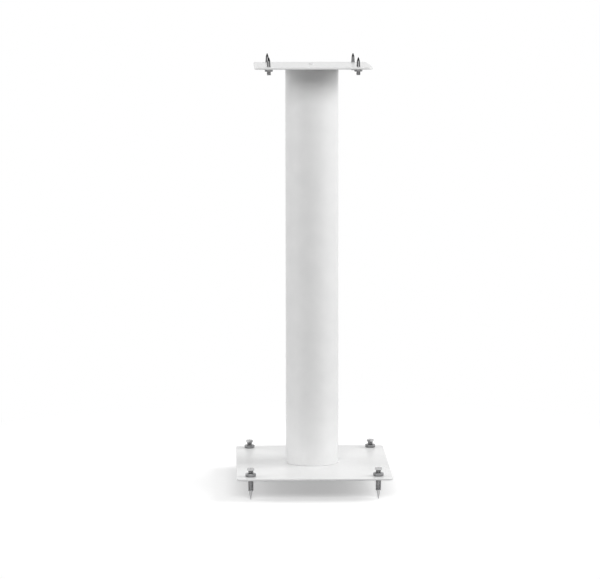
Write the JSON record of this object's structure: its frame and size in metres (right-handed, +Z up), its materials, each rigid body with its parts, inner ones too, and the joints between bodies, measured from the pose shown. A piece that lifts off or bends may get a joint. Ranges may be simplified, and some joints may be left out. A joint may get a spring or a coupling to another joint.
{
  "type": "speaker stand",
  "caption": "Floor stand for a bookshelf loudspeaker: round steel column between flat plates, with levelling spikes and locknuts below and carrying spikes and locknuts on top.",
  "frame": {"origin": "on the column's axis, at the level of the floor that the spike tips stand on", "axes": "+Z up along the column, +X to the right seen from the front, the front faces -Y"},
  "size_m": [0.22, 0.27, 0.6205],
  "materials": {
    "white_powder_coat": "satin white powder coat with a very fine texture",
    "white_screw": "satin white painted screw",
    "spike_nickel": "bright nickel plate, turned cone and rolled thread",
    "nut_nickel": "nickel plate",
    "zinc_plate": "clear zinc plate",
    "bare_steel": "sawn and turned bare steel"
  },
  "bodies": {
    "stand": {"base_plate": "white_powder_coat", "top_plate": "white_powder_coat", "column_tube": "white_powder_coat", "column_foot_disc": "bare_steel", "column_head_disc": "bare_steel", "base_screws": "zinc_plate", "base_washers": "zinc_plate", "top_screw": "white_screw"},
    "floor_spike_front_left": {"floor_spike_front_left": "spike_nickel"},
    "floor_locknut_front_left": {"floor_locknut_front_left": "nut_nickel"},
    "top_spike_front_left": {"top_spike_front_left": "spike_nickel"},
    "top_locknut_front_left": {"top_locknut_front_left": "nut_nickel"},
    "floor_spike_front_right": {"floor_spike_front_right": "spike_nickel"},
    "floor_locknut_front_right": {"floor_locknut_front_right": "nut_nickel"},
    "top_spike_front_right": {"top_spike_front_right": "spike_nickel"},
    "top_locknut_front_right": {"top_locknut_front_right": "nut_nickel"},
    "floor_spike_back_left": {"floor_spike_back_left": "spike_nickel"},
    "floor_locknut_back_left": {"floor_locknut_back_left": "nut_nickel"},
    "top_spike_back_left": {"top_spike_back_left": "spike_nickel"},
    "top_locknut_back_left": {"top_locknut_back_left": "nut_nickel"},
    "floor_spike_back_right": {"floor_spike_back_right": "spike_nickel"},
    "floor_locknut_back_right": {"floor_locknut_back_right": "nut_nickel"},
    "top_spike_back_right": {"top_spike_back_right": "spike_nickel"},
    "top_locknut_back_right": {"top_locknut_back_right": "nut_nickel"}
  },
  "joints": [
    {"name": "floor_spike_front_left_height", "type": "slide", "parent": "stand", "child": "floor_spike_front_left", "axis": [0, 0, 1], "range_m": [-0.003, 0.012]},
    {"name": "floor_locknut_front_left_turn", "type": "hinge", "parent": "stand", "child": "floor_locknut_front_left", "pos_m": [-0.09, -0.115, 0.033], "axis": [0, 0, 1], "continuous": true},
    {"name": "top_spike_front_left_height", "type": "slide", "parent": "stand", "child": "top_spike_front_left", "axis": [0, 0, 1], "range_m": [-0.003, 0.004]},
    {"name": "top_locknut_front_left_turn", "type": "hinge", "parent": "stand", "child": "top_locknut_front_left", "pos_m": [-0.0625, -0.085, 0.604], "axis": [0, 0, 1], "continuous": true},
    {"name": "floor_spike_front_right_height", "type": "slide", "parent": "stand", "child": "floor_spike_front_right", "axis": [0, 0, 1], "range_m": [-0.003, 0.012]},
    {"name": "floor_locknut_front_right_turn", "type": "hinge", "parent": "stand", "child": "floor_locknut_front_right", "pos_m": [0.09, -0.115, 0.033], "axis": [0, 0, 1], "continuous": true},
    {"name": "top_spike_front_right_height", "type": "slide", "parent": "stand", "child": "top_spike_front_right", "axis": [0, 0, 1], "range_m": [-0.003, 0.004]},
    {"name": "top_locknut_front_right_turn", "type": "hinge", "parent": "stand", "child": "top_locknut_front_right", "pos_m": [0.0625, -0.085, 0.604], "axis": [0, 0, 1], "continuous": true},
    {"name": "floor_spike_back_left_height", "type": "slide", "parent": "stand", "child": "floor_spike_back_left", "axis": [0, 0, 1], "range_m": [-0.003, 0.012]},
    {"name": "floor_locknut_back_left_turn", "type": "hinge", "parent": "stand", "child": "floor_locknut_back_left", "pos_m": [-0.09, 0.115, 0.033], "axis": [0, 0, 1], "continuous": true},
    {"name": "top_spike_back_left_height", "type": "slide", "parent": "stand", "child": "top_spike_back_left", "axis": [0, 0, 1], "range_m": [-0.003, 0.004]},
    {"name": "top_locknut_back_left_turn", "type": "hinge", "parent": "stand", "child": "top_locknut_back_left", "pos_m": [-0.0625, 0.085, 0.604], "axis": [0, 0, 1], "continuous": true},
    {"name": "floor_spike_back_right_height", "type": "slide", "parent": "stand", "child": "floor_spike_back_right", "axis": [0, 0, 1], "range_m": [-0.003, 0.012]},
    {"name": "floor_locknut_back_right_turn", "type": "hinge", "parent": "stand", "child": "floor_locknut_back_right", "pos_m": [0.09, 0.115, 0.033], "axis": [0, 0, 1], "continuous": true},
    {"name": "top_spike_back_right_height", "type": "slide", "parent": "stand", "child": "top_spike_back_right", "axis": [0, 0, 1], "range_m": [-0.003, 0.004]},
    {"name": "top_locknut_back_right_turn", "type": "hinge", "parent": "stand", "child": "top_locknut_back_right", "pos_m": [0.0625, 0.085, 0.604], "axis": [0, 0, 1], "continuous": true}
  ]
}
